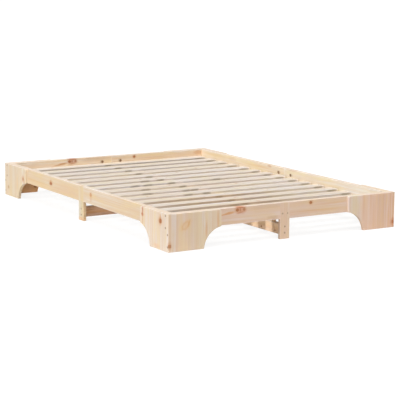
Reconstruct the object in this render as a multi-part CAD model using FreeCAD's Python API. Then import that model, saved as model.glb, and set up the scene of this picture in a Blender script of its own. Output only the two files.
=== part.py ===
import FreeCAD, Part
import math
import os

# A low bed frame of pine boards that stands on the floor.
# X runs across the bed, Y along it, Z up. The origin is on the floor, under the middle.
# The front is the end at the lowest Y, the left is the side at the lowest X.
# Lengths are in millimetres and angles in degrees.

# Clear space inside the rails, for a mattress of 1400 by 2000
inner_width = 1410.0
inner_length = 2020.0

# Rails: two halves on each side of the bed
rail_bottom = 113.0
rail_height = 92.0
rail_thickness = 28.0

# Corner legs: two boards that meet in an L
leg_board_width = 310.0
leg_board_thickness = 18.0
foot_width = 202.0
arch_sag_share = 0.174
foot_corner_radius = 6.0
leg_top_radius = 12.0

# Middle legs: one in each side, let into the rails
mid_leg_width = 62.0
mid_leg_thickness = 18.0

# Low beams between opposite middle legs
beam_bottom = 21.0
beam_height = 60.0
beam_thickness = 28.0

# Ledges that carry the slat ends, and the bearer under the middle of the slats
ledge_rise = 1.0
ledge_width = 45.0
ledge_height = 28.0
bearer_width = 45.0
bearer_block_length = 60.0

# Slats
slat_count = 15
slat_width = 76.0
slat_thickness = 18.0
slat_end_gap = 17.0
slat_row_gap = 2.0

# Rounding of the edges that are left open to the hand
edge_radius = 2.0
mid_leg_edge_radius = 0.8

# Screws with countersunk heads: length, shank radius, head radius
frame_screw_length = 60.0
frame_screw_radius = 2.5
frame_head_radius = 6.0
lap_screw_length = 24.0
slat_screw_length = 36.0
slat_screw_radius = 2.0
slat_head_radius = 4.0
bearer_screw_length = 90.0
socket_radius_share = 0.42
socket_depth_share = 0.6

# Cam locks beside the middle legs: a round barrel in the rail and a bolt into the leg
cam_radius = 9.0
cam_recess = 1.5
cam_depth_share = 0.86
cam_from_leg = 37.0
cam_slot_width = 2.0
cam_slot_depth = 3.0
cam_bolt_radius = 3.0
cam_bolt_bite = 17.0

# Wooden dowels: between the side rails and the end rails, and beside the middle legs
corner_dowel_radius = 5.0
corner_dowel_in_end_rail = 15.0
corner_dowel_in_side_rail = 35.0
leg_dowel_radius = 4.0
leg_dowel_in_leg = 15.0
leg_dowel_in_rail = 20.0

# Places of the fasteners, as shares of the height of the rail, the foot or the beam
rail_screw_shares = (0.87, 0.16)
foot_screw_shares = (0.83, 0.25)
lap_screw_share = 0.325
cam_share = 0.615
leg_dowel_share = 0.2
corner_dowel_shares = (0.35, 0.65)
board_screw_share = 0.16
beam_screw_shares = (0.8, 0.225)

# Places of the fasteners along the boards
lap_screw_spacing_share = 0.52
slat_screw_inset = 14.0
end_board_screw_shares = (0.25, 0.75)
board_screw_bite_share = 0.75

# Places along the bed, counted in slats from the middle
block_steps = (-6.5, -2.5, 2.5, 6.5)
ledge_screw_steps = (-4.5, -2.5, -0.5, 0.5, 2.5, 4.5)
side_board_screw_steps = (-6.5, -5.5, 5.5, 6.5)

# Room round a screw or dowel in its hole, and the overrun of every cut
fit_clearance = 0.3
overrun = 2.0

# Shares and angles of the round shapes
full_turn = 360.0
quarter_turn = 90.0
socket_sides = 6
parallel_share = 0.999
long_edge_share = 0.25

# Worked out from the sizes above
half_inner_width = inner_width / 2
half_inner_length = inner_length / 2
half_rail_width = half_inner_width + rail_thickness
half_rail_length = half_inner_length + rail_thickness
half_width = half_rail_width + leg_board_thickness
half_length = half_rail_length + leg_board_thickness
rail_top = rail_bottom + rail_height
beam_top = beam_bottom + beam_height
ledge_bottom = rail_bottom + ledge_rise
ledge_top = ledge_bottom + ledge_height
slat_top = ledge_top + slat_thickness
slat_pitch = (inner_length - slat_row_gap - slat_row_gap - slat_width) / (slat_count - 1)
slat_half_length = half_inner_width - slat_end_gap

middle = FreeCAD.Vector(0, 0, 0)
x_axis = FreeCAD.Vector(1, 0, 0)
y_axis = FreeCAD.Vector(0, 1, 0)
z_axis = FreeCAD.Vector(0, 0, 1)
sides = (("left", -1), ("right", 1))
ends = (("front", -1), ("back", 1))

pieces = {}
fasteners = {}


def board(x0, x1, y0, y1, z0, z1):
    """A plain board between two corners, given in any order along each axis."""
    low = FreeCAD.Vector(min(x0, x1), min(y0, y1), min(z0, z1))
    return Part.makeBox(abs(x1 - x0), abs(y1 - y0), abs(z1 - z0), low)


def runs_along(edge, axis):
    """True for a straight edge that is parallel to the axis."""
    return isinstance(edge.Curve, Part.Line) and abs(edge.Curve.Direction.dot(axis)) > parallel_share


def eased(solid, axis, radius):
    """The board with the edges along one axis rounded."""
    return solid.makeFillet(radius, [edge for edge in solid.Edges if runs_along(edge, axis)])


def mirrored_across(shape, normal):
    """The shape on the other side of the bed."""
    return shape.mirror(middle, normal)


def leg_outline():
    """Face of a leg board in the XZ plane: its corner edge at x = 0, its foot at z = 0.

    An arc leads from the foot up to the inner edge, which starts at the underside of the rail.
    """
    foot = FreeCAD.Vector(foot_width, 0, 0)
    arch_end = FreeCAD.Vector(leg_board_width, 0, rail_bottom)
    chord = arch_end - foot
    outward = FreeCAD.Vector(-chord.z, 0, chord.x)
    arch_middle = foot + chord / 2 + outward * arch_sag_share
    inner_top = FreeCAD.Vector(leg_board_width, 0, rail_top)
    corner_top = FreeCAD.Vector(0, 0, rail_top)
    edges = [Part.makeLine(middle, foot),
             Part.Arc(foot, arch_middle, arch_end).toShape(),
             Part.makeLine(arch_end, inner_top),
             Part.makeLine(inner_top, corner_top),
             Part.makeLine(corner_top, middle)]
    return Part.Face(Part.Wire(edges))


def rounded_corner(solid, height_above, radius):
    """The leg board with one corner of its outline rounded, at the foot or at the inner top."""
    for edge in solid.Edges:
        box = edge.BoundBox
        inside = box.XMin > leg_board_width / 2
        if runs_along(edge, y_axis) and inside and abs(box.ZMin - height_above) < radius:
            return solid.makeFillet(radius, [edge])
    return solid


def leg_board(keep_corner_edge):
    """A leg board with its outer face at y = 0 and its back at y = thickness.

    The edges of the outer face are rounded. The corner edge stays sharp where the
    neighbouring leg board lies flush against it.
    """
    solid = leg_outline().extrude(FreeCAD.Vector(0, leg_board_thickness, 0))
    solid = rounded_corner(solid, 0, foot_corner_radius)
    solid = rounded_corner(solid, rail_top, leg_top_radius)
    rounded = []
    for edge in solid.Edges:
        box = edge.BoundBox
        on_outer_face = box.YMax < leg_board_thickness / 2
        on_corner = box.XMax < leg_board_thickness / 2
        on_floor = box.ZMax < leg_board_thickness / 2 and box.XLength > leg_board_width * long_edge_share
        if on_outer_face and not on_floor and not (keep_corner_edge and on_corner):
            rounded.append(edge)
    return solid.makeFillet(edge_radius, rounded)


def make_legs():
    """Eight leg boards: at each corner one on the end of the bed and one on its side."""
    end_board = leg_board(True)
    end_board.translate(FreeCAD.Vector(-half_rail_width, -half_length, 0))
    side_board = leg_board(False)
    side_board.rotate(middle, z_axis, quarter_turn)
    side_board = mirrored_across(side_board, x_axis)
    side_board.translate(FreeCAD.Vector(-half_width, -half_length, 0))
    for end, y_sign in ends:
        for side, x_sign in sides:
            for kind, solid in (("end", end_board), ("side", side_board)):
                placed = solid.copy()
                if x_sign > 0:
                    placed = mirrored_across(placed, x_axis)
                if y_sign > 0:
                    placed = mirrored_across(placed, y_axis)
                pieces[end + "_" + side + "_leg_" + kind + "_board"] = placed


def make_rails():
    """Eight half rails. Each is cut back behind its middle leg and meets the other half there."""
    lap = mid_leg_thickness
    half_leg = mid_leg_width / 2
    for end, y_sign in ends:
        outer = y_sign * half_rail_length
        inner = y_sign * half_inner_length
        for side, x_sign in sides:
            rail = board(0, x_sign * half_rail_width, outer, inner, rail_bottom, rail_top)
            rail = eased(rail, x_axis, edge_radius)
            recess = board(-x_sign * overrun, x_sign * half_leg, outer + y_sign * overrun,
                           outer - y_sign * lap, rail_bottom - overrun, rail_top + overrun)
            pieces[end + "_rail_" + side + "_half"] = rail.cut(recess)
    for side, x_sign in sides:
        outer = x_sign * half_rail_width
        inner = x_sign * half_inner_width
        for end, y_sign in ends:
            rail = board(outer, inner, 0, y_sign * half_inner_length, rail_bottom, rail_top)
            rail = eased(rail, y_axis, edge_radius)
            recess = board(outer + x_sign * overrun, outer - x_sign * lap,
                           -y_sign * overrun, y_sign * half_leg,
                           rail_bottom - overrun, rail_top + overrun)
            pieces[side + "_rail_" + end + "_half"] = rail.cut(recess)


def make_mid_legs():
    """Four middle legs, flush with the outer faces of the rails and as tall as the legs."""
    half_leg = mid_leg_width / 2
    for end, y_sign in ends:
        outer = y_sign * half_rail_length
        leg = board(-half_leg, half_leg, outer, outer - y_sign * mid_leg_thickness, 0, rail_top)
        pieces[end + "_mid_leg"] = eased(leg, z_axis, mid_leg_edge_radius)
    for side, x_sign in sides:
        outer = x_sign * half_rail_width
        leg = board(outer, outer - x_sign * mid_leg_thickness, -half_leg, half_leg, 0, rail_top)
        pieces[side + "_mid_leg"] = eased(leg, z_axis, mid_leg_edge_radius)


def make_beams():
    """The two low beams, halved into each other where they cross."""
    half_beam = beam_thickness / 2
    half_notch = half_beam + fit_clearance
    crossing = beam_bottom + beam_height / 2
    y_end = half_rail_length - mid_leg_thickness
    x_end = half_rail_width - mid_leg_thickness
    long_beam = board(-half_beam, half_beam, -y_end, y_end, beam_bottom, beam_top)
    long_beam = eased(long_beam, y_axis, edge_radius)
    long_notch = board(-half_beam - overrun, half_beam + overrun, -half_notch, half_notch,
                       crossing, beam_top + overrun)
    pieces["long_beam"] = long_beam.cut(long_notch)
    cross_beam = board(-x_end, x_end, -half_beam, half_beam, beam_bottom, beam_top)
    cross_beam = eased(cross_beam, x_axis, edge_radius)
    cross_notch = board(-half_notch, half_notch, -half_beam - overrun, half_beam + overrun,
                        beam_bottom - overrun, crossing)
    pieces["cross_beam"] = cross_beam.cut(cross_notch)


def make_slat_carriers():
    """Ledges along the side rails, and the bearer on its blocks over the long beam."""
    for side, x_sign in sides:
        inner = x_sign * half_inner_width
        ledge = board(inner, inner - x_sign * ledge_width, -half_inner_length, half_inner_length,
                      ledge_bottom, ledge_top)
        pieces[side + "_slat_ledge"] = eased(ledge, y_axis, edge_radius)
    bearer = board(-bearer_width / 2, bearer_width / 2, -half_inner_length, half_inner_length,
                   ledge_bottom, ledge_top)
    pieces["centre_bearer"] = eased(bearer, y_axis, edge_radius)
    half_beam = beam_thickness / 2
    half_block = bearer_block_length / 2
    for number, step in enumerate(block_steps, 1):
        y = step * slat_pitch
        pieces["bearer_block_%d" % number] = board(-half_beam, half_beam, y - half_block,
                                                   y + half_block, beam_top, ledge_bottom)


def slat_centres():
    """Places of the slats along the bed."""
    first = -slat_pitch * (slat_count - 1) / 2
    return [first + slat_pitch * number for number in range(slat_count)]


def make_slats():
    """The row of slats, numbered from the front."""
    for number, y in enumerate(slat_centres(), 1):
        slat = board(-slat_half_length, slat_half_length, y - slat_width / 2,
                     y + slat_width / 2, ledge_top, slat_top)
        pieces["slat_%02d" % number] = eased(slat, x_axis, edge_radius)


def turned(profile):
    """A solid turned about the Z axis from the corners of its half section."""
    corners = [FreeCAD.Vector(radius, 0, height) for radius, height in profile]
    return Part.Face(Part.makePolygon(corners + corners[:1])).revolve(middle, z_axis, full_turn)


def driven(shape, point, direction):
    """The shape moved so that its top is at the point and it points along the direction."""
    placed = shape.copy()
    down = FreeCAD.Vector(0, 0, -1)
    placed.Placement = FreeCAD.Placement(point, FreeCAD.Rotation(down, direction))
    return placed


def countersunk_screw(length, shank, head):
    """A screw below the XY plane with its head flush, and a hexagon socket in the head."""
    cone = head - shank
    solid = turned([(0, 0), (head, 0), (shank, -cone), (shank, shank - length), (0, -length)])
    socket_radius = head * socket_radius_share
    corners = []
    for step in range(socket_sides):
        angle = math.radians(full_turn / socket_sides * step)
        corners.append(FreeCAD.Vector(socket_radius * math.cos(angle),
                                      socket_radius * math.sin(angle), overrun))
    hexagon = Part.Face(Part.makePolygon(corners + corners[:1]))
    depth = head * socket_depth_share
    return solid.cut(hexagon.extrude(FreeCAD.Vector(0, 0, -overrun - depth)))


def countersunk_hole(length, shank, head):
    """The hole for a countersunk screw, with room all round."""
    wide = head + fit_clearance
    narrow = shank + fit_clearance
    cone = head - shank
    return turned([(0, overrun), (wide, overrun), (wide, 0), (narrow, -cone),
                   (narrow, -length - fit_clearance), (0, -length - fit_clearance)])


def pin(length, radius):
    """A plain round bar below the XY plane."""
    return turned([(0, 0), (radius, 0), (radius, -length), (0, -length)])


def pin_hole(length, radius):
    """The hole for a round bar, with room all round and at both ends."""
    wide = radius + fit_clearance
    deep = length + fit_clearance
    return turned([(0, fit_clearance), (wide, fit_clearance), (wide, -deep), (0, -deep)])


def cam_barrel():
    """The barrel of a cam lock, sunk a little below the face, with a slot for the driver."""
    depth = rail_thickness * cam_depth_share
    solid = turned([(0, -cam_recess), (cam_radius, -cam_recess), (cam_radius, -depth), (0, -depth)])
    slot_bottom = -cam_recess - cam_slot_depth
    for across, along in ((cam_slot_width / 2, cam_radius), (cam_radius, cam_slot_width / 2)):
        solid = solid.cut(board(-across, across, -along, along, slot_bottom, 0))
    return solid


def cam_hole():
    """The blind hole for the barrel of a cam lock."""
    wide = cam_radius + fit_clearance
    deep = rail_thickness * cam_depth_share + fit_clearance
    return turned([(0, overrun), (wide, overrun), (wide, -deep), (0, -deep)])


def fasten(group, screw, hole, point, direction):
    """Put a fastener in its group and cut its hole in every piece that it passes."""
    fasteners.setdefault(group, []).append(driven(screw, point, direction))
    cutter = driven(hole, point, direction)
    for name, solid in pieces.items():
        if solid.BoundBox.intersect(cutter.BoundBox):
            pieces[name] = solid.cut(cutter)


def rail_height_at(share):
    """Height above the floor of a share of the rail."""
    return rail_bottom + rail_height * share


def frame_screw_and_hole(length):
    """A screw of the frame in the length asked for, and its hole."""
    sizes = (length, frame_screw_radius, frame_head_radius)
    return countersunk_screw(*sizes), countersunk_hole(*sizes)


def fasten_corners():
    """Screws from the side of each corner leg into the end rail and into the other leg board."""
    screw, hole = frame_screw_and_hole(frame_screw_length)
    rail_middle = half_inner_length + rail_thickness / 2
    board_middle = half_rail_length + leg_board_thickness / 2
    places = [(rail_middle, rail_height_at(share)) for share in rail_screw_shares]
    places += [(board_middle, rail_bottom * share) for share in foot_screw_shares]
    for _, x_sign in sides:
        for _, y_sign in ends:
            for y, z in places:
                point = FreeCAD.Vector(x_sign * half_width, y_sign * y, z)
                fasten("corner_screws", screw, hole, point, FreeCAD.Vector(-x_sign, 0, 0))


def fasten_mid_legs():
    """Screws through the middle legs, into the rail laps and the ends of the low beams."""
    lap_screw, lap_hole = frame_screw_and_hole(lap_screw_length)
    beam_screw, beam_hole = frame_screw_and_hole(frame_screw_length)
    lap_x = mid_leg_width * lap_screw_spacing_share / 2
    beam_heights = [beam_bottom + beam_height * share for share in beam_screw_shares]
    for _, y_sign in ends:
        inward = FreeCAD.Vector(0, -y_sign, 0)
        y = y_sign * half_rail_length
        for _, x_sign in sides:
            point = FreeCAD.Vector(x_sign * lap_x, y, rail_height_at(lap_screw_share))
            fasten("lap_screws", lap_screw, lap_hole, point, inward)
        for z in beam_heights:
            fasten("beam_screws", beam_screw, beam_hole, FreeCAD.Vector(0, y, z), inward)
    for _, x_sign in sides:
        inward = FreeCAD.Vector(-x_sign, 0, 0)
        for z in beam_heights:
            point = FreeCAD.Vector(x_sign * half_rail_width, 0, z)
            fasten("beam_screws", beam_screw, beam_hole, point, inward)


def rail_halves():
    """For each half rail: the outward direction of its face and its direction along the bed."""
    for _, y_sign in ends:
        for _, x_sign in sides:
            yield FreeCAD.Vector(0, y_sign, 0), FreeCAD.Vector(x_sign, 0, 0), half_inner_length
            yield FreeCAD.Vector(x_sign, 0, 0), FreeCAD.Vector(0, y_sign, 0), half_inner_width


def fasten_rails_to_mid_legs():
    """Cam locks and dowels that hold each half rail to the edges of its middle leg."""
    half_leg = mid_leg_width / 2
    leg_middle = rail_thickness - mid_leg_thickness / 2
    bolt_length = cam_from_leg + cam_bolt_bite
    barrel = cam_barrel()
    barrel_hole = cam_hole()
    bolt = pin(bolt_length, cam_bolt_radius)
    bolt_hole = pin_hole(bolt_length, cam_bolt_radius)
    dowel_length = leg_dowel_in_leg + leg_dowel_in_rail
    dowel = pin(dowel_length, leg_dowel_radius)
    dowel_hole = pin_hole(dowel_length, leg_dowel_radius)
    for outward, along, inner_face in rail_halves():
        cam_z = z_axis * rail_height_at(cam_share)
        cam_place = along * (half_leg + cam_from_leg) + cam_z
        bolt_top = outward * (inner_face + leg_middle) + cam_place
        fasten("cam_bolts", bolt, bolt_hole, bolt_top, -along)
        fasten("cam_barrels", barrel, barrel_hole, outward * inner_face + cam_place, outward)
        bored = fasteners["cam_barrels"].pop().cut(driven(bolt_hole, bolt_top, -along))
        fasteners["cam_barrels"].append(bored)
        dowel_top = outward * (inner_face + leg_middle) + along * (half_leg + leg_dowel_in_rail)
        dowel_top = dowel_top + z_axis * rail_height_at(leg_dowel_share)
        fasten("mid_leg_dowels", dowel, dowel_hole, dowel_top, -along)


def fasten_slats():
    """Screws down through each slat, into the ledges and the centre bearer."""
    sizes = (slat_screw_length, slat_screw_radius, slat_head_radius)
    screw = countersunk_screw(*sizes)
    hole = countersunk_hole(*sizes)
    outer = slat_half_length - slat_screw_inset
    for y in slat_centres():
        for x in (-outer, 0, outer):
            fasten("slat_screws", screw, hole, FreeCAD.Vector(x, y, slat_top), -z_axis)


def fasten_ledges():
    """Screws through the ledges into the side rails, and longer ones on into the leg boards."""
    short_screw, short_hole = frame_screw_and_hole(frame_screw_length)
    reach = ledge_width + rail_thickness + leg_board_thickness * board_screw_bite_share
    long_screw, long_hole = frame_screw_and_hole(reach)
    z = ledge_bottom + ledge_height / 2
    for _, x_sign in sides:
        outward = FreeCAD.Vector(x_sign, 0, 0)
        x = x_sign * (half_inner_width - ledge_width)
        for step in ledge_screw_steps:
            point = FreeCAD.Vector(x, step * slat_pitch, z)
            fasten("ledge_screws", short_screw, short_hole, point, outward)
        for step in side_board_screw_steps:
            point = FreeCAD.Vector(x, step * slat_pitch, z)
            fasten("side_board_screws", long_screw, long_hole, point, outward)


def fasten_end_boards():
    """Screws from the inner faces of the end rails into the leg boards on the ends."""
    reach = rail_thickness + leg_board_thickness * board_screw_bite_share
    screw, hole = frame_screw_and_hole(reach)
    first = half_rail_width - leg_board_width
    free = half_inner_width - ledge_width - first
    for _, y_sign in ends:
        for _, x_sign in sides:
            for share in end_board_screw_shares:
                point = FreeCAD.Vector(x_sign * (first + free * share),
                                       y_sign * half_inner_length,
                                       rail_height_at(board_screw_share))
                fasten("end_board_screws", screw, hole, point, FreeCAD.Vector(0, y_sign, 0))


def fasten_bearer():
    """Long screws through the bearer and its blocks into the long beam."""
    screw, hole = frame_screw_and_hole(bearer_screw_length)
    for step in block_steps:
        point = FreeCAD.Vector(0, step * slat_pitch, ledge_top)
        fasten("bearer_screws", screw, hole, point, -z_axis)


def add_corner_dowels():
    """Wooden dowels that tie the ends of the side rails to the end rails."""
    length = corner_dowel_in_end_rail + corner_dowel_in_side_rail
    dowel = pin(length, corner_dowel_radius)
    hole = pin_hole(length, corner_dowel_radius)
    x = half_inner_width + rail_thickness / 2
    y = half_inner_length + corner_dowel_in_end_rail
    for _, x_sign in sides:
        for _, y_sign in ends:
            for share in corner_dowel_shares:
                point = FreeCAD.Vector(x_sign * x, y_sign * y, rail_height_at(share))
                fasten("corner_dowels", dowel, hole, point, FreeCAD.Vector(0, -y_sign, 0))


def write(name, shape):
    """Write one node and print its count of solids and its volume."""
    shape.exportStep("parts/" + name + ".step")
    print("%-28s %3d solids %12.0f mm3 valid %s"
          % (name, len(shape.Solids), shape.Volume, shape.isValid()))


make_legs()
make_rails()
make_mid_legs()
make_beams()
make_slat_carriers()
make_slats()
fasten_corners()
fasten_mid_legs()
fasten_rails_to_mid_legs()
fasten_slats()
fasten_ledges()
fasten_end_boards()
fasten_bearer()
add_corner_dowels()

os.makedirs("parts", exist_ok=True)
for piece_name, piece in pieces.items():
    write(piece_name, piece)
for group_name, members in fasteners.items():
    write(group_name, Part.makeCompound(members))
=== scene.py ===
import bpy
import math
import random
from collections import namedtuple
from mathutils import Matrix, Vector


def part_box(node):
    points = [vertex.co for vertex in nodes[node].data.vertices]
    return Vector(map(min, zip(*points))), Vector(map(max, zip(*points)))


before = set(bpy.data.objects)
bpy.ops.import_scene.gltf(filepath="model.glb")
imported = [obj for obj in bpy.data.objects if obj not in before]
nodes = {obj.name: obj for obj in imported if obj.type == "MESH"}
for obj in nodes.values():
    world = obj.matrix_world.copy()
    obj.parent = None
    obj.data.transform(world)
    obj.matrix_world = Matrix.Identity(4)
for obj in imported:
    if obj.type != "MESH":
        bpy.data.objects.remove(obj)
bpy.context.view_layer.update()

MM = 0.001
AXES = {"x": 0, "y": 1, "z": 2}
ENDS = ("front", "back")
SIDES = ("left", "right")

# Colour of the wood, linear, which a board's tone multiplies
PALE = (0.713, 0.589, 0.455)
PLAIN_TONE = (1.0, 1.0, 1.0)
# What multiplies it again in dark grain, warm streaks, yellow patches and at worn edges,
# which are paler from wear and from a painted highlight
DARKER = (0.94, 0.79, 0.60)
WARMER = (0.97, 0.86, 0.72)
YELLOWER = (1.0, 0.91, 0.64)
WORN_AND_HIGHLIGHT = (1.10, 1.10, 1.12)
# No part of a colour goes over this
PALEST = 0.97
# Colour that faces looking up are painted towards, a painted highlight on top faces
TOP_PAINTED_HIGHLIGHT = (0.74, 0.67, 0.62)
# Contrast of the grain where a board has none of its own
PLAIN_CONTRAST = 1.5

# Colours of knots and stains, linear
KNOT_EDGE = (0.60, 0.31, 0.14)
KNOTS = {
    "red": (0.33, 0.11, 0.045),
    "orange": (0.50, 0.20, 0.07),
    "brown": (0.26, 0.13, 0.07),
}
STAINS = {
    "stain": (0.60, 0.31, 0.14),
    "red_stain": (0.50, 0.20, 0.10),
    "brown_stain": (0.30, 0.16, 0.08),
    "yellow": (0.76, 0.53, 0.26),
    "pink": (0.70, 0.44, 0.31),
    "peach": (0.76, 0.47, 0.27),
    "tan": (0.50, 0.33, 0.19),
    "beige": (0.66, 0.58, 0.43),
    "olive": (0.30, 0.24, 0.15),
    "leaf": (0.68, 0.46, 0.25),
}

# Year rings: how deep their centre lies under the middle of the board and how far it wanders,
# in metres, the waves of the rings in radians to a metre, and how narrow their dark part is
PITH_DEPTH = 0.045
WANDER = 0.10
RING_WAVES = 1250.0
RING_SHARPNESS = 2.5
# Noise cells to a metre, along the board and across it
WANDER_CELLS = (0.9, 3.0)
BAND_CELLS = (0.5, 62.0)
STREAK_CELLS = (1.6, 80.0)
FIBRE_CELLS = (26.0, 1100.0)
WARM_CELLS = (1.6, 20.0)
YELLOW_CELLS = (5.0, 26.0)
# Starts of the noise fields, which keep them different from each other and from board to board
WANDER_START = 3.7
STREAK_START = 9.1
FIBRE_START = 1.9
WARM_START = 5.3
YELLOW_START = 2.7
SEED_STEP = 7.31
# How much each layer of the grain darkens the wood, and the values they vary around
BAND_WEIGHT = 1.9
STREAK_WEIGHT = 2.2
RING_WEIGHT = 0.20
FIBRE_WEIGHT = 0.35
MEAN_NOISE = 0.5
MEAN_RING = 0.35
MEAN_TONE = 0.37
# Warm streaks and yellow patches: the noise they start and end at, and their strength
WARM_RANGE = (0.38, 0.62)
WARM_SHARE = 0.75
YELLOW_RANGE = (0.44, 0.68)
YELLOW_SHARE = 0.7
# How rings and fibres stand out of the surface, and how streaks and fibres dull it
RING_RELIEF = -0.5
FIBRE_RELIEF = 0.6
STREAK_ROUGHNESS = 0.16
FIBRE_ROUGHNESS = 0.12

# Knots: where the core, the halo round it and the rim start and end, in half sizes of the knot
CORE_REACH = (0.62, 1.05)
HALO_REACH = (0.6, 2.1)
RIM_START = (0.45, 0.85)
RIM_END = (0.85, 1.15)
# Uneven outline of a knot: noise cells to its half size, and the noise's share of the size
OUTLINE_CELLS = 1.3
OUTLINE_NOISE = 0.9
OUTLINE_LEAST = 0.55
# Rings inside a knot: radians to its half size, their depth and their mean
KNOT_WAVES = 26.0
KNOT_WAVE_DEPTH = 0.2
KNOT_WAVE_MEAN = 0.75
# How strongly a knot bends the grain, stands proud and colours its surroundings
GRAIN_BEND = -0.8
KNOT_RELIEF = 0.8
HALO_SHARE = 0.40
LEAF_RIM_SHARE = 0.24
MARK_SEED_STEP = 1.7

# Surface of the wood, and how strong, wide and frayed its worn edges are, paler from wear
# and from a painted highlight
WOOD_ROUGHNESS = 0.60
WOOD_IOR = 1.38
WOOD_BUMP = 0.35
WOOD_RELIEF = 0.6 * MM
EDGE_WEAR_AND_HIGHLIGHT = 0.45
EDGE_WIDTH = 3.5 * MM
EDGE_FRAY = 3.0 * MM
FRAY_CELLS = (40.0, 120.0)
# How far up a face looks before it gets the painted highlight of top faces, and how far along
# the grain one looks before it is end grain, as parts of its normal
TOP_HIGHLIGHT_RANGE = (0.15, 0.75)
END_GRAIN_RANGE = (0.8, 0.95)
END_GRAIN_DARKNESS = 0.22
# Strips that a wide board is glued up from: their width in metres, where the first one starts
# to each unit of the seed, how far the grain of one may be moved, and how much their
# brightness differs
STRIP_WIDTH = 0.062
STRIP_START = 0.37
STRIP_SHIFT = 0.6
STRIP_CONTRAST = 0.06

# Metal of the fasteners: colours, linear, and roughness
SCREW_STEEL = (0.55, 0.41, 0.30)
LAP_STEEL = (0.64, 0.49, 0.37)
CAM_METAL = (0.40, 0.25, 0.15)
STEEL_ROUGHNESS = 0.5
CAM_ROUGHNESS = 0.55
METALLIC = 0.85
# Dull patches and scratches: noise cells to a metre, and how they show
PATCH_CELLS = 260.0
PATCH_RANGE = (0.35, 0.7)
PATCH_COLOUR = (0.72, 0.72, 0.72)
PATCH_ROUGHNESS = 0.25
SCRATCH_CELLS = (900.0, 900.0, 5200.0)
SCRATCH_BUMP = 0.3
SCRATCH_RELIEF = 0.2 * MM


class Tree:
    """Short ways to add shader nodes to a tree."""

    def __init__(self, tree):
        self.tree = tree

    def add(self, kind, **settings):
        node = self.tree.nodes.new(kind)
        for key, value in settings.items():
            setattr(node, key, value)
        return node

    def put(self, socket, value):
        """Link a socket to another one, or give it a fixed value."""
        if isinstance(value, bpy.types.NodeSocket):
            self.tree.links.new(value, socket)
        elif socket.type == "RGBA" and len(value) == 3:
            socket.default_value = (*value, 1.0)
        else:
            socket.default_value = value

    def math(self, operation, a, b=0.0, c=None, clamp=False):
        node = self.add("ShaderNodeMath", operation=operation, use_clamp=clamp)
        self.put(node.inputs[0], a)
        self.put(node.inputs[1], b)
        if c is not None:
            self.put(node.inputs[2], c)
        return node.outputs[0]

    def scaled(self, value, factor):
        return self.math("MULTIPLY", value, factor)

    def rest(self, value):
        """What is left of 1."""
        return self.math("SUBTRACT", 1.0, value)

    def vector(self, operation, a, b):
        node = self.add("ShaderNodeVectorMath", operation=operation)
        self.put(node.inputs[0], a)
        self.put(node.inputs[1], b)
        return node.outputs[0]

    def join(self, x, y, z):
        node = self.add("ShaderNodeCombineXYZ")
        self.put(node.inputs[0], x)
        self.put(node.inputs[1], y)
        self.put(node.inputs[2], z)
        return node.outputs[0]

    def split(self, vector):
        node = self.add("ShaderNodeSeparateXYZ")
        self.put(node.inputs[0], vector)
        return node.outputs

    def length(self, x, y):
        """Length of a flat vector."""
        return self.math("SQRT", self.math("ADD", self.math("MULTIPLY", x, x), self.math("MULTIPLY", y, y)))

    def noise(self, vector, detail, roughness=0.5, scale=1.0):
        node = self.add("ShaderNodeTexNoise")
        self.put(node.inputs["Vector"], vector)
        self.put(node.inputs["Scale"], scale)
        self.put(node.inputs["Detail"], detail)
        self.put(node.inputs["Roughness"], roughness)
        return node.outputs[0]

    def mix(self, factor, a, b, blend="MIX"):
        """Mix two colours, which a mix node has in its inputs 6 and 7 and its output 2."""
        node = self.add("ShaderNodeMix", data_type="RGBA", blend_type=blend)
        self.put(node.inputs[0], factor)
        self.put(node.inputs[6], a)
        self.put(node.inputs[7], b)
        return node.outputs[2]

    def tint(self, colour, factor):
        """Multiply one colour by another."""
        return self.mix(1.0, colour, factor, "MULTIPLY")

    def smooth(self, value, low, high):
        """0 below low, 1 above high, smooth in between."""
        node = self.add("ShaderNodeMapRange", interpolation_type="SMOOTHSTEP")
        self.put(node.inputs[0], value)
        self.put(node.inputs[1], low)
        self.put(node.inputs[2], high)
        return node.outputs[0]

    def ramp(self, value, stops):
        """Colours between stops, each a place from 0 to 1 and a colour."""
        node = self.add("ShaderNodeValToRGB")
        self.put(node.inputs[0], value)
        elements = node.color_ramp.elements
        while len(elements) < len(stops):
            elements.new(0.5)
        for element, (position, colour) in zip(elements, stops):
            element.position = position
            element.color = (*colour, 1.0)
        return node.outputs[0]

    def use(self, group, **values):
        node = self.add("ShaderNodeGroup")
        node.node_tree = group
        for key, value in values.items():
            self.put(node.inputs[key], value)
        return node.outputs

    def bump(self, height, strength, distance):
        node = self.add("ShaderNodeBump")
        self.put(node.inputs["Strength"], strength)
        self.put(node.inputs["Distance"], distance)
        self.put(node.inputs["Height"], height)
        return node.outputs[0]

    def finish(self, shader):
        self.put(self.add("ShaderNodeOutputMaterial").inputs[0], shader.outputs[0])


def new_group(name, inputs, outputs):
    """A node group with its sockets, its tree helper, and its two end nodes."""
    group = bpy.data.node_groups.new(name, "ShaderNodeTree")
    kinds = {"number": "NodeSocketFloat", "colour": "NodeSocketColor"}
    for kind, labels in inputs:
        for label in labels:
            group.interface.new_socket(label, in_out="INPUT", socket_type=kinds[kind])
    for kind, labels in outputs:
        for label in labels:
            group.interface.new_socket(label, in_out="OUTPUT", socket_type=kinds[kind])
    t = Tree(group)
    return group, t, t.add("NodeGroupInput").outputs, t.add("NodeGroupOutput").inputs


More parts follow.
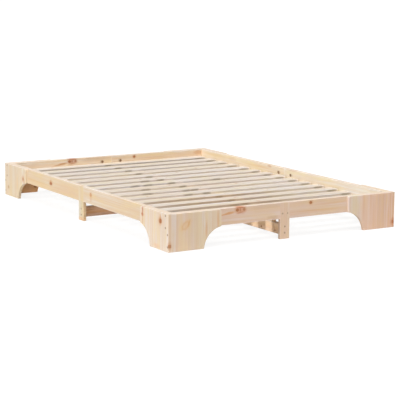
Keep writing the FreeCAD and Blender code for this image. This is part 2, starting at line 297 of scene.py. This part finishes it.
def make_grain_group():
    """Pine grain in board coordinates: along the board, across its face, into its depth."""
    group, t, given, out = new_group(
        "pine_grain",
        [("number", ("Along", "Across", "Depth", "Seed", "Contrast", "Pith")),
         ("colour", ("Light", "Dark", "Warm"))],
        [("colour", ("Color",)), ("number", ("Height", "Rough"))])
    along, across, depth, seed = (given[label] for label in ("Along", "Across", "Depth", "Seed"))
    shift = t.scaled(seed, SEED_STEP)

    def field(cells, start, detail=3.0, roughness=0.6):
        lengthwise, crosswise = cells
        place = t.join(t.math("MULTIPLY_ADD", along, lengthwise, shift),
                       t.math("MULTIPLY_ADD", across, crosswise, start),
                       t.math("MULTIPLY_ADD", depth, crosswise, shift))
        return t.noise(place, detail, roughness)

    # Year rings round a pith that wanders under the face, in fine lines and in broad bands
    drift = field(WANDER_CELLS, WANDER_START, detail=2.0, roughness=0.5)
    swing = t.scaled(t.math("SUBTRACT", drift, MEAN_NOISE), WANDER)
    sideways = t.math("ADD", t.math("ADD", across, swing), given["Pith"])
    radius = t.length(sideways, t.math("ADD", depth, PITH_DEPTH))
    wave = t.math("SINE", t.scaled(radius, RING_WAVES))
    ring = t.math("POWER", t.math("MULTIPLY_ADD", wave, 0.5, 0.5), RING_SHARPNESS)
    lengthwise, outward = BAND_CELLS
    band_place = t.join(t.scaled(radius, outward), t.math("MULTIPLY_ADD", along, lengthwise, shift), shift)
    bands = t.noise(band_place, detail=3.0, roughness=0.6)
    streaks = field(STREAK_CELLS, STREAK_START)
    fibres = field(FIBRE_CELLS, FIBRE_START, detail=2.0)

    tone = MEAN_TONE
    for layer, mean, weight in ((bands, MEAN_NOISE, BAND_WEIGHT), (streaks, MEAN_NOISE, STREAK_WEIGHT),
                                (ring, MEAN_RING, RING_WEIGHT), (fibres, MEAN_NOISE, FIBRE_WEIGHT)):
        tone = t.math("MULTIPLY_ADD", t.math("SUBTRACT", layer, mean), weight, tone)
    change = t.math("SUBTRACT", tone, MEAN_TONE)
    tone = t.math("MULTIPLY_ADD", change, given["Contrast"], MEAN_TONE, clamp=True)
    colour = t.mix(tone, given["Light"], given["Dark"])
    warmth = t.smooth(field(WARM_CELLS, WARM_START), *WARM_RANGE)
    colour = t.mix(t.scaled(warmth, WARM_SHARE), colour, given["Warm"])
    patches = t.smooth(field(YELLOW_CELLS, YELLOW_START), *YELLOW_RANGE)
    colour = t.mix(t.scaled(patches, YELLOW_SHARE), colour, t.tint(given["Light"], YELLOWER))
    t.put(out["Color"], colour)
    t.put(out["Height"], t.math("MULTIPLY_ADD", ring, RING_RELIEF, t.scaled(fibres, FIBRE_RELIEF)))
    t.put(out["Rough"], t.math("MULTIPLY_ADD", streaks, STREAK_ROUGHNESS, t.scaled(fibres, FIBRE_ROUGHNESS)))
    return group


def make_knot_group():
    """One knot: how far a point is into it, its soft surroundings, and how it bends the grain."""
    group, t, given, out = new_group(
        "pine_knot",
        [("number", ("Along", "Across", "At", "Off", "Length", "Width", "Turn", "Seed"))],
        [("number", ("Core", "Halo", "Bend", "Ring", "Rim"))])
    u = t.math("SUBTRACT", given["Along"], given["At"])
    v = t.math("SUBTRACT", given["Across"], given["Off"])
    cosine = t.math("COSINE", given["Turn"])
    sine = t.math("SINE", given["Turn"])
    p = t.math("ADD", t.math("MULTIPLY", u, cosine), t.math("MULTIPLY", v, sine))
    q = t.math("SUBTRACT", t.math("MULTIPLY", v, cosine), t.math("MULTIPLY", u, sine))
    p = t.math("DIVIDE", p, given["Length"])
    q = t.math("DIVIDE", q, given["Width"])
    noise = t.noise(t.join(t.scaled(p, OUTLINE_CELLS), t.scaled(q, OUTLINE_CELLS), given["Seed"]), 2.0)
    reach = t.math("MULTIPLY", t.length(p, q), t.math("MULTIPLY_ADD", noise, OUTLINE_NOISE, OUTLINE_LEAST))
    rim = t.math("SUBTRACT", t.smooth(reach, *RIM_START), t.smooth(reach, *RIM_END))
    wave = t.math("SINE", t.scaled(reach, KNOT_WAVES))
    wave = t.math("MULTIPLY_ADD", wave, KNOT_WAVE_DEPTH, KNOT_WAVE_MEAN)
    # A bell curve over the knot
    near = t.math("POWER", math.e, t.scaled(t.math("MULTIPLY", reach, reach), -0.5))
    t.put(out["Core"], t.rest(t.smooth(reach, *CORE_REACH)))
    t.put(out["Halo"], t.rest(t.smooth(reach, *HALO_REACH)))
    t.put(out["Bend"], t.scaled(t.math("MULTIPLY", v, near), GRAIN_BEND))
    t.put(out["Ring"], t.math("MAXIMUM", rim, wave))
    t.put(out["Rim"], rim)
    return group


grain_group = make_grain_group()
knot_group = make_knot_group()


def new_material(name):
    """An empty node material."""
    material = bpy.data.materials.new(name)
    material.use_nodes = True
    material.node_tree.nodes.clear()
    return material


def times(colour, factor):
    """One colour times another, kept below white."""
    return tuple(min(PALEST, x * y) for x, y in zip(colour, factor))


class BoardTree(Tree):
    """The nodes of one board, in its own directions: along the grain, across it and deep."""

    def __init__(self, tree, box, along, across, seed):
        super().__init__(tree)
        low, high = box
        self.seed = seed
        deep = ({"x", "y", "z"} - {along, across}).pop()
        self.axes = [AXES[along], AXES[across], AXES[deep]]
        self.half = [(high[axis] - low[axis]) / 2 for axis in self.axes]
        centre = tuple((low + high) / 2)
        point = self.add("ShaderNodeTexCoord").outputs["Object"]
        place = self.split(self.vector("SUBTRACT", point, centre))
        self.place = [place[axis] for axis in self.axes]
        self.normal = self.split(self.add("ShaderNodeNewGeometry").outputs["Normal"])

    def strip_lot(self, width):
        """A random number for each of the strips that a wide board is glued up from."""
        shifted = self.math("ADD", self.place[1], self.seed * STRIP_START)
        strip = self.math("FLOOR", self.math("DIVIDE", shifted, width))
        chance = self.add("ShaderNodeTexWhiteNoise", noise_dimensions="1D")
        self.put(chance.inputs["W"], strip)
        return chance.outputs["Value"]

    def find_marks(self, marks):
        """The knot nodes of the marks, each with its mark."""
        found = []
        for number, mark in enumerate(marks):
            knot = self.use(knot_group, Along=self.place[0], Across=self.place[1],
                            At=(2 * mark.at - 1) * self.half[0], Off=(2 * mark.off - 1) * self.half[1],
                            Length=mark.long * MM, Width=mark.wide * MM, Turn=math.radians(mark.turn),
                            Seed=self.seed + number * MARK_SEED_STEP)
            found.append((knot, mark))
        return found

    def zone_tint(self, zones):
        """A colour that changes along the board, or across it."""
        direction, stops = zones
        number = ("along", "across").index(direction)
        half = self.half[number]
        share = self.math("DIVIDE", self.math("ADD", self.place[number], half), 2 * half)
        return self.ramp(share, stops)

    def edge_wear_and_highlight(self):
        """1 at the board's edges, which are worn and carry a painted highlight, and 0 away from them."""
        inset = []
        for half, place in zip(self.half, self.place):
            inset.append(self.math("SUBTRACT", half, self.math("ABSOLUTE", place)))
        least = self.math("MINIMUM", self.math("MINIMUM", inset[0], inset[1]), inset[2])
        most = self.math("MAXIMUM", self.math("MAXIMUM", inset[0], inset[1]), inset[2])
        total = self.math("ADD", self.math("ADD", inset[0], inset[1]), inset[2])
        middle = self.math("SUBTRACT", self.math("SUBTRACT", total, least), most)
        lengthwise, crosswise = FRAY_CELLS
        fray_place = self.join(self.scaled(self.place[0], lengthwise), self.scaled(self.place[1], crosswise),
                               self.seed)
        fray = self.noise(fray_place, 2.0)
        edge = self.math("SUBTRACT", middle, self.scaled(fray, EDGE_FRAY))
        return self.rest(self.smooth(edge, -MM, EDGE_WIDTH))

    def paint_marks(self, found, colour, height):
        """Lay the knots and stains over the grain."""
        for knot, mark in found:
            if mark.kind in KNOTS:
                colour = self.mix(self.scaled(knot["Halo"], HALO_SHARE * mark.strength), colour, KNOT_EDGE)
                inner = self.mix(knot["Ring"], KNOT_EDGE, KNOTS[mark.kind])
                colour = self.mix(self.scaled(knot["Core"], mark.strength), colour, inner)
                height = self.math("ADD", height, self.scaled(knot["Core"], KNOT_RELIEF))
            else:
                colour = self.mix(self.scaled(knot["Halo"], mark.strength), colour, STAINS[mark.kind])
            if mark.kind == "leaf":
                colour = self.mix(self.scaled(knot["Rim"], LEAF_RIM_SHARE), colour, STAINS["stain"])
        return colour, height


def wood(name, along, across, seed, tone=PLAIN_TONE, contrast=PLAIN_CONTRAST, pith=0.0,
         marks=(), zones=None, strips=0.0, upward=TOP_PAINTED_HIGHLIGHT):
    """Material of one board, fitted to its box in the frame. The pith is how far the rings'
    centre lies from the middle of the board in metres, and strips is the width of a strip."""
    light = times(PALE, tone)
    dark = times(light, DARKER)
    material = new_material(name)
    t = BoardTree(material.node_tree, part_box(name), along, across, seed)
    lengthwise, crosswise, deep = t.place
    if strips:
        lot = t.strip_lot(strips)
        lengthwise = t.math("MULTIPLY_ADD", lot, STRIP_SHIFT, lengthwise)
    found = t.find_marks(marks)
    for knot, mark in found:
        if mark.kind in KNOTS:
            crosswise = t.math("ADD", crosswise, knot["Bend"])
    grain = t.use(grain_group, Along=lengthwise, Across=crosswise, Depth=deep, Seed=seed, Light=light,
                  Dark=dark, Warm=times(light, WARMER), Contrast=contrast, Pith=pith)
    colour = grain["Color"]
    if strips:
        level = t.math("MULTIPLY_ADD", lot, STRIP_CONTRAST, 1.0 - STRIP_CONTRAST / 2)
        colour = t.tint(colour, t.join(level, level, level))
    if zones:
        colour = t.tint(colour, t.zone_tint(zones))
    # Edges paler partly from wear and partly as a painted highlight
    colour = t.mix(t.scaled(t.edge_wear_and_highlight(), EDGE_WEAR_AND_HIGHLIGHT), colour, times(light, WORN_AND_HIGHLIGHT))
    colour, height = t.paint_marks(found, colour, grain["Height"])
    # Painted highlight: faces that look up are painted paler
    if upward:
        highlight_tint = tuple(x / y for x, y in zip(upward, light))
        colour = t.mix(t.smooth(t.normal[2], *TOP_HIGHLIGHT_RANGE), colour, t.tint(colour, highlight_tint))
    end_grain = t.smooth(t.math("ABSOLUTE", t.normal[t.axes[0]]), *END_GRAIN_RANGE)
    colour = t.mix(t.scaled(end_grain, END_GRAIN_DARKNESS), colour, dark)
    shader = t.add("ShaderNodeBsdfPrincipled")
    t.put(shader.inputs["Base Color"], colour)
    t.put(shader.inputs["Roughness"], t.math("ADD", grain["Rough"], WOOD_ROUGHNESS))
    t.put(shader.inputs["Normal"], t.bump(height, WOOD_BUMP, WOOD_RELIEF))
    t.put(shader.inputs["IOR"], WOOD_IOR)
    t.finish(shader)
    return material


def metal(name, colour, roughness, seed):
    """Material of the fasteners: plated steel with fine scratches and dull patches."""
    material = new_material(name)
    t = Tree(material.node_tree)
    place = t.vector("ADD", t.add("ShaderNodeTexCoord").outputs["Object"], (seed, seed, seed))
    patches = t.noise(place, 3.0, scale=PATCH_CELLS)
    scratches = t.noise(t.vector("MULTIPLY", place, SCRATCH_CELLS), 2.0)
    dull = times(colour, PATCH_COLOUR)
    shader = t.add("ShaderNodeBsdfPrincipled")
    t.put(shader.inputs["Base Color"], t.mix(t.smooth(patches, *PATCH_RANGE), colour, dull))
    t.put(shader.inputs["Roughness"], t.math("MULTIPLY_ADD", patches, PATCH_ROUGHNESS, roughness))
    t.put(shader.inputs["Metallic"], METALLIC)
    t.put(shader.inputs["Normal"], t.bump(scratches, SCRATCH_BUMP, SCRATCH_RELIEF))
    t.finish(shader)
    return material


def dress(name, material):
    """Give a CAD node its material."""
    node = nodes[name]
    node.data.materials.clear()
    node.data.materials.append(material)


def dress_board(name, along, across, seed, **look):
    """Give a board a wood of its own."""
    dress(name, wood(name, along, across, seed, **look))


# Tones of the boards, each chosen to a twentieth. The others are plain. Some also stand in
# for light and shade: the right rails and the back left leg's end board are painted paler,
# and the cross beam is painted darker and browner as painted shade.
TONES_AND_PAINTED_LIGHT = {
    "front_rail_left_half": (0.95, 0.95, 1.15),
    "front_rail_right_half": (0.95, 0.95, 1.15),
    "back_rail_left_half": (1.20, 1.25, 1.35),
    "back_rail_right_half": (1.15, 1.20, 1.30),
    "left_rail_front_half": (1.00, 1.05, 1.15),
    "left_rail_back_half": (1.00, 1.05, 1.10),
    # Paler as painted light
    "right_rail_front_half": (1.20, 1.40, 1.70),
    "right_rail_back_half": (1.20, 1.35, 1.55),
    "front_left_leg_end_board": (0.95, 1.00, 1.20),
    "front_left_leg_side_board": (1.05, 1.15, 1.40),
    "front_right_leg_end_board": (0.95, 0.90, 1.05),
    "front_right_leg_side_board": (1.00, 1.00, 1.10),
    # Paler as painted light on a face in shade
    "back_left_leg_end_board": (1.35, 1.10, 0.90),
    "back_left_leg_side_board": (1.00, 1.10, 1.25),
    "front_mid_leg": (0.95, 0.95, 1.10),
    "left_mid_leg": (0.95, 1.10, 1.25),
    "long_beam": (1.30, 1.25, 1.30),
    # Darker and browner as painted shade under the bed
    "cross_beam": (0.85, 0.70, 0.70),
}
SLAT_TONE = (0.95, 1.10, 1.40)

# A mark on a board: its kind and strength, its place as shares of the board's length and width,
# its half length and half width in millimetres, and its turn in degrees. A share under 0 or
# over 1 puts its middle just off the board.
Mark = namedtuple("Mark", "kind strength at off long wide turn", defaults=(0,))

END_RAIL_MARKS = {
    "left": [
        Mark("red_stain", 0.55, 0.605, 0.80, 24, 13),
        Mark("red", 1.0, 0.575, 0.82, 12, 11),
        Mark("red", 0.6, 0.60, 0.82, 5, 11),
        Mark("red", 0.75, 0.635, 0.83, 9, 10),
        Mark("red_stain", 0.8, 0.60, 0.97, 22, 4),
        Mark("red_stain", 0.5, 0.60, 0.65, 18, 3, 10),
        Mark("stain", 0.85, 0.505, 0.68, 22, 5, 8),
        Mark("stain", 0.7, 0.455, 0.61, 22, 3, 6),
        Mark("tan", 0.25, 0.815, 0.88, 90, 9),
        Mark("tan", 0.35, 0.89, 0.18, 24, 6),
    ],
    "right": [
        Mark("red", 1.0, 0.235, 0.83, 11, 10),
        Mark("stain", 0.25, 0.41, 0.68, 80, 4, 1),
        Mark("stain", 0.25, 0.315, 0.32, 90, 4, -1),
        Mark("stain", 0.5, 0.92, 0.79, 24, 12),
    ],
}
# Painted shade round each cam lock inside the back rail
BACK_RAIL_CAM_SHADE = {
    "left": [Mark("olive", 0.5, 0.90, 0.64, 9, 8)],
    "right": [Mark("olive", 0.5, 0.085, 0.64, 9, 8)],
}
SIDE_RAIL_MARKS = {
    "left_rail_front_half": [
        Mark("orange", 0.6, 0.875, 0.61, 14, 14),
        Mark("stain", 0.3, 0.875, 0.32, 8, 12),
    ],
    "left_rail_back_half": [
        Mark("orange", 0.5, 0.405, 0.58, 14, 16),
        Mark("red", 1.0, 0.405, 0.51, 20, 11),
        Mark("pink", 0.18, 0.20, 0.40, 110, 22),
        Mark("yellow", 0.30, 0.595, 0.16, 140, 16),
    ],
    "right_rail_front_half": [
        Mark("pink", 0.4, 0.915, 0.95, 40, 4),
        # Painted shade round the cam lock
        Mark("olive", 0.35, 0.925, 0.62, 10, 8),
    ],
    "right_rail_back_half": [
        # Painted shade round the cam lock
        Mark("brown_stain", 0.6, 0.06, 0.62, 10, 8),
        Mark("stain", 0.5, 0.165, 0.92, 16, 5),
        Mark("pink", 0.3, 0.61, 0.79, 34, 9),
        Mark("yellow", 0.35, 0.325, 0.71, 90, 6),
        Mark("yellow", 0.35, 0.81, 0.79, 110, 8),
    ],
}
LEG_MARKS = {
    "front_left_leg_end_board": [
        Mark("leaf", 0.62, 0.67, 0.28, 30, 17, 50),
        Mark("stain", 0.5, 0.72, 0.345, 15, 3, 20),
        Mark("stain", 0.18, 0.535, -0.02, 80, 6),
        Mark("stain", 0.45, 0.51, 0.70, 34, 5),
        Mark("beige", 0.35, 0.49, 0.53, 110, 20),
        Mark("stain", 0.45, 0.73, 0.93, 40, 6),
    ],
    "front_left_leg_side_board": [
        Mark("orange", 0.6, 0.78, 0.275, 20, 17),
        Mark("red", 1.0, 0.765, 0.275, 15, 15),
        Mark("stain", 0.6, 0.885, 0.275, 8, 4),
        Mark("red_stain", 0.8, 0.915, 0.90, 16, 5),
        Mark("red_stain", 0.95, 0.795, 0.91, 7, 8, -30),
        Mark("stain", 0.6, 0.675, 0.90, 22, 3),
        Mark("peach", 0.4, 0.09, 0.405, 8, 22),
        Mark("red_stain", 0.35, 0.175, 0.0, 15, 6),
        Mark("red", 0.85, 0.165, 0.0, 10, 5),
        Mark("tan", 0.3, 0.585, 0.0, 90, 2.5),
    ],
    "front_right_leg_end_board": [
        Mark("red_stain", 0.5, 0.16, 1.01, 14, 9),
        Mark("beige", 0.5, 0.73, 0.145, 60, 20),
        Mark("stain", 0.25, 0.73, 0.345, 60, 5),
    ],
    "front_right_leg_side_board": [
        Mark("red", 0.9, 0.44, 0.405, 12, 11),
        Mark("red_stain", 0.6, 0.165, 0.0, 17, 7),
        Mark("red", 1.0, 0.16, 0.0, 11, 5),
        Mark("red_stain", 0.35, 0.49, 0.0, 90, 2.5),
    ],
    "back_left_leg_end_board": [
        Mark("red", 1.0, 0.185, 0.60, 12, 12),
        Mark("peach", 0.35, 0.295, 0.30, 40, 60),
    ],
    "back_left_leg_side_board": [
        Mark("stain", 0.5, 0.67, 0.10, 18, 14),
        Mark("red", 0.6, 0.665, 0.10, 11, 10),
        Mark("tan", 0.8, 0.27, 0.83, 8, 9),
        Mark("yellow", 0.4, 0.49, 0.39, 36, 7),
    ],
    "back_right_leg_end_board": [Mark("leaf", 0.4, 0.625, 0.70, 34, 14, 50)],
    "back_right_leg_side_board": [Mark("orange", 0.8, 0.73, 0.595, 10, 9)],
    "left_mid_leg": [
        Mark("peach", 0.6, 0.04, 0.50, 10, 30),
        Mark("peach", 0.4, 0.295, 0.0, 60, 6),
    ],
}
CROSS_BEAM_MARKS = [
    Mark("brown_stain", 0.6, 0.11, 0.92, 110, 5, -1),
    Mark("stain", 0.55, 0.08, 0.42, 120, 4, 1),
    Mark("brown_stain", 0.3, 0.135, 0.18, 90, 3, 2),
    Mark("brown_stain", 0.4, 0.015, 0.65, 30, 3, 3),
]
# Dark flecks on the front edges of the slats: two on every slat, some on slats by number, as
# shares of the slat's length, and one long stain on three slats
SLAT_EDGE_MARKS = [Mark("olive", 0.6, 0.453, 0.0, 18, 1.8), Mark("olive", 0.6, 0.969, 0.0, 24, 1.8)]
SLAT_FLECKS = {
    3: (0.40,),
    6: (0.361,),
    7: (0.413, 0.221),
    8: (0.267,),
    9: (0.334, 0.268, 0.69),
    10: (0.376,),
}
FLECK_STRENGTH = 0.5
FLECK_LONG = 22
FLECK_WIDE = 1.8
STAINED_SLATS = (3, 4, 5)
SLAT_STAIN = Mark("tan", 0.6, 0.391, 0.0, 300, 3)

# Zones: a direction, and colours at shares of the board that way
RAIL_LEVEL_TINT = (1.05, 0.97, 0.89)
INNER_EDGE_TINT = (1.03, 1.08, 1.08)
LEG_ZONES = {
    "left_mid_leg": ("along", [
        (0.0, PLAIN_TONE),
        (0.53, PLAIN_TONE),
        (0.58, RAIL_LEVEL_TINT),
        (1.0, RAIL_LEVEL_TINT),
    ]),
    "front_left_leg_end_board": ("across", [
        (0.0, PLAIN_TONE),
        (0.6, PLAIN_TONE),
        (0.75, INNER_EDGE_TINT),
        (1.0, INNER_EDGE_TINT),
    ]),
    "front_right_leg_end_board": ("across", [
        (0.0, (0.98, 1.06, 1.10)),
        (0.22, (0.99, 1.04, 1.06)),
        (0.45, PLAIN_TONE),
        (1.0, (1.0, 0.97, 0.95)),
    ]),
}
# Painted shade on the front strip of each slat's top, and a painted highlight towards its back edge
SLAT_PAINTED_SHADE_AND_HIGHLIGHT = [
    (0.03, (0.92, 0.92, 0.91)),
    (0.25, (0.97, 0.97, 0.97)),
    (0.6, PLAIN_TONE),
    (0.85, (1.06, 1.06, 1.06)),
    (1.0, (1.16, 1.15, 1.15)),
]
# Painted light and shade on the slats' front faces: one for most slats, and for the slats by
# number that differ from the rest
SLAT_FRONT_PAINTED_LIGHT = (1.20, 1.17, 1.17)
SLAT_FRONT_PAINTED_LIGHTS = {
    2: (1.1, 1.07, 1.07),
    3: (1.1, 1.07, 1.05),
    4: (1.1, 1.07, 1.05),
    5: (1.1, 1.07, 1.05),
    13: (1.1, 1.07, 1.05),
    14: (1.0, 0.97, 0.97),
    15: (0.86, 0.83, 0.80),
}

SLAT_COUNT = 15
BLOCK_COUNT = 4
# Contrast of the grain, by kind of board
CONTRASTS = {"end": 2.0, "side": PLAIN_CONTRAST, "mid_leg": 1.2, "beam": 1.4, "slat": 0.8}
# How far the rings' centre may lie from the middle of a rail or leg board, in metres
RAIL_PITH_SPREAD = 0.06
LEG_PITH_SPREAD = 0.1
DOWEL_SEED = 2.0
# Small knots at random places: half widths in millimetres, how many times as long as wide
# they are, and turns in degrees
STRAY_WIDTHS = (4.0, 8.5)
STRAY_STRETCH = (1.0, 1.5)
STRAY_TURNS = (-20, 20)

rng = random.Random(41)


def new_seed():
    return rng.uniform(0, 9)


def new_pith(spread):
    return rng.uniform(-spread, spread)


def stray_marks(count, strength):
    """A few small knots at places that come from the random numbers."""
    made = []
    for _ in range(count):
        wide = rng.uniform(*STRAY_WIDTHS)
        at = rng.uniform(0.0, 1.0)
        off = rng.uniform(0.25, 0.75)
        long = wide * rng.uniform(*STRAY_STRETCH)
        turn = rng.uniform(*STRAY_TURNS)
        kind = rng.choice(("orange", "red", "brown"))
        made.append(Mark(kind, strength, at, off, long, wide, turn))
    return made


def dress_rails():
    for end in ENDS:
        for side in SIDES:
            name = end + "_rail_" + side + "_half"
            marks = END_RAIL_MARKS[side] + (BACK_RAIL_CAM_SHADE[side] if end == "back" else [])
            dress_board(name, "x", "z", new_seed(), tone=TONES_AND_PAINTED_LIGHT[name], marks=marks,
                        pith=new_pith(RAIL_PITH_SPREAD))
    for side in SIDES:
        for end in ENDS:
            name = side + "_rail_" + end + "_half"
            dress_board(name, "y", "z", new_seed(), tone=TONES_AND_PAINTED_LIGHT[name], marks=SIDE_RAIL_MARKS[name],
                        pith=new_pith(RAIL_PITH_SPREAD))


def dress_legs():
    for end in ENDS:
        for side in SIDES:
            for kind, across in (("end", "x"), ("side", "y")):
                name = end + "_" + side + "_leg_" + kind + "_board"
                dress_board(name, "z", across, new_seed(), tone=TONES_AND_PAINTED_LIGHT.get(name, PLAIN_TONE),
                            contrast=CONTRASTS[kind], marks=LEG_MARKS.get(name, ()),
                            zones=LEG_ZONES.get(name), strips=STRIP_WIDTH, pith=new_pith(LEG_PITH_SPREAD))
    for place, across in (("front", "x"), ("back", "x"), ("left", "y"), ("right", "y")):
        name = place + "_mid_leg"
        dress_board(name, "z", across, new_seed(), tone=TONES_AND_PAINTED_LIGHT.get(name, PLAIN_TONE),
                    contrast=CONTRASTS["mid_leg"], marks=LEG_MARKS.get(name, ()), zones=LEG_ZONES.get(name))


def dress_beams():
    for name, along, marks in (("long_beam", "y", []), ("cross_beam", "x", CROSS_BEAM_MARKS)):
        dress_board(name, along, "z", new_seed(), tone=TONES_AND_PAINTED_LIGHT[name], contrast=CONTRASTS["beam"],
                    marks=marks + stray_marks(count=4, strength=0.7))
    for name in ("left_slat_ledge", "right_slat_ledge", "centre_bearer"):
        dress_board(name, "y", "x", new_seed(), marks=stray_marks(count=3, strength=0.6))
    for number in range(1, BLOCK_COUNT + 1):
        dress_board("bearer_block_%d" % number, "y", "x", new_seed())


def dress_slats():
    for number in range(1, SLAT_COUNT + 1):
        marks = list(SLAT_EDGE_MARKS)
        for at in SLAT_FLECKS.get(number, ()):
            marks.append(Mark("olive", FLECK_STRENGTH, at, 0.0, FLECK_LONG, FLECK_WIDE))
        if number in STAINED_SLATS:
            marks.append(SLAT_STAIN)
        # Painted light and shade on the slat's front face, and across its top
        front_painted_light = SLAT_FRONT_PAINTED_LIGHTS.get(number, SLAT_FRONT_PAINTED_LIGHT)
        dress_board("slat_%02d" % number, "x", "y", new_seed(), tone=SLAT_TONE, contrast=CONTRASTS["slat"],
                    zones=("across", [(0.0, front_painted_light)] + SLAT_PAINTED_SHADE_AND_HIGHLIGHT), upward=None,
                    marks=marks + stray_marks(count=2, strength=0.5))


def dress_fasteners():
    steel = metal("screw_steel", SCREW_STEEL, STEEL_ROUGHNESS, seed=0.0)
    for name in ("corner_screws", "beam_screws", "slat_screws", "ledge_screws",
                 "side_board_screws", "end_board_screws", "bearer_screws", "cam_bolts"):
        dress(name, steel)
    dress("lap_screws", metal("lap_steel", LAP_STEEL, STEEL_ROUGHNESS, seed=1.0))
    dress("cam_barrels", metal("cam_metal", CAM_METAL, CAM_ROUGHNESS, seed=3.0))
    for name in ("mid_leg_dowels", "corner_dowels"):
        dress_board(name, "y", "x", DOWEL_SEED)


# Floor: its half size and how far it lies under the feet in metres, the colour of the light
# that it throws back, and its colour and glow where the camera, a gloss or glass sees it
FLOOR_HALF = 120.0
FLOOR_DROP = 0.5 * MM
FLOOR_COLOUR = (0.80, 0.75, 0.67, 1.0)
FLOOR_SEEN_COLOUR = (0.18, 0.18, 0.18, 1.0)
FLOOR_GLOW = 0.87
WHITE = (1.0, 1.0, 1.0, 1.0)

# Lamps: name, azimuth and elevation in degrees, strength, and spread in degrees
LAMPS = (
    ("key", -90.0, 30.0, 1.51, 6.0),
    ("top_fill", -20.0, 70.0, 2.94, 60.0),
    ("front_fill", -20.0, 18.0, 0.45, 50.0),
    ("low_fill", -31.0, 5.0, 0.30, 30.0),
)
LAMP_DISTANCE = 6.0

# Camera: a long lens from the front left, a little above. Place in metres, angles in degrees,
# lens and sensor in millimetres, and how near and far it sees in metres.
CAMERA_PLACE = (-4.499, -7.554, 1.582)
CAMERA_YAW = 31.23
CAMERA_PITCH = 9.82
CAMERA_ROLL = 0.44
CAMERA_LENS = 131.3
CAMERA_SENSOR = 36.0
CAMERA_NEAR = 0.1
CAMERA_FAR = 500.0


def add_to_scene(name, data):
    made = bpy.data.objects.new(name, data)
    bpy.context.scene.collection.objects.link(made)
    return made


def seen_ray(t):
    """1 for a ray from the camera or through a gloss or a clear thing, and 0 for other light."""
    path = t.add("ShaderNodeLightPath").outputs
    return t.math("MAXIMUM", path["Is Camera Ray"],
                  t.math("MAXIMUM", path["Is Glossy Ray"], path["Is Transmission Ray"]))


def matt(t, colour):
    shader = t.add("ShaderNodeBsdfDiffuse")
    t.put(shader.inputs[0], colour)
    return shader


def make_floor():
    mesh = bpy.data.meshes.new("floor")
    corners = ((-1, -1), (1, -1), (1, 1), (-1, 1))
    mesh.from_pydata([(x * FLOOR_HALF, y * FLOOR_HALF, -FLOOR_DROP) for x, y in corners], [], [(0, 1, 2, 3)])
    material = new_material("floor_white")
    t = Tree(material.node_tree)
    glow = t.add("ShaderNodeEmission")
    t.put(glow.inputs[0], WHITE)
    t.put(glow.inputs[1], FLOOR_GLOW)
    lit = t.add("ShaderNodeAddShader")
    t.put(lit.inputs[0], matt(t, FLOOR_SEEN_COLOUR).outputs[0])
    t.put(lit.inputs[1], glow.outputs[0])
    either = t.add("ShaderNodeMixShader")
    t.put(either.inputs[0], seen_ray(t))
    t.put(either.inputs[1], matt(t, FLOOR_COLOUR).outputs[0])
    t.put(either.inputs[2], lit.outputs[0])
    t.finish(either)
    mesh.materials.append(material)
    add_to_scene("floor", mesh)


def make_world():
    """A room that is white to look at and adds no light of its own."""
    world = bpy.data.worlds.new("studio")
    bpy.context.scene.world = world
    world.use_nodes = True
    world.node_tree.nodes.clear()
    t = Tree(world.node_tree)
    room = t.add("ShaderNodeBackground")
    t.put(room.inputs[0], WHITE)
    t.put(room.inputs[1], seen_ray(t))
    t.put(t.add("ShaderNodeOutputWorld").inputs[0], room.outputs[0])


def make_lamps():
    """Distant lamps. Azimuth 0 shines along +Y, -90 along +X; elevation is above the floor."""
    for name, azimuth, elevation, strength, spread in LAMPS:
        lamp = bpy.data.lights.new(name, "SUN")
        lamp.energy = strength
        lamp.angle = math.radians(spread)
        round_about = math.radians(azimuth)
        above = math.radians(elevation)
        back = Vector((math.sin(round_about) * math.cos(above), -math.cos(round_about) * math.cos(above),
                       math.sin(above)))
        light = add_to_scene(name, lamp)
        light.rotation_mode = "QUATERNION"
        light.rotation_quaternion = back.to_track_quat("Z", "Y")
        light.location = back * LAMP_DISTANCE


def make_camera():
    yaw = math.radians(CAMERA_YAW)
    pitch = math.radians(CAMERA_PITCH)
    roll = math.radians(CAMERA_ROLL)
    ahead = Vector((math.sin(yaw) * math.cos(pitch), math.cos(yaw) * math.cos(pitch), -math.sin(pitch)))
    right = Vector((math.cos(yaw), -math.sin(yaw), 0.0))
    up = right.cross(ahead)
    rolled_right = right * math.cos(roll) + up * math.sin(roll)
    rolled_up = up * math.cos(roll) - right * math.sin(roll)
    lens = bpy.data.cameras.new("camera")
    lens.sensor_width = CAMERA_SENSOR
    lens.lens = CAMERA_LENS
    lens.clip_start = CAMERA_NEAR
    lens.clip_end = CAMERA_FAR
    camera = add_to_scene("camera", lens)
    turn = Matrix((rolled_right, rolled_up, -ahead)).transposed().to_4x4()
    camera.matrix_world = Matrix.Translation(CAMERA_PLACE) @ turn
    bpy.context.scene.camera = camera


dress_rails()
dress_legs()
dress_beams()
dress_slats()
dress_fasteners()
make_floor()
make_world()
make_lamps()
make_camera()
bpy.context.scene.view_settings.view_transform = "Standard"

bpy.context.view_layer.update()
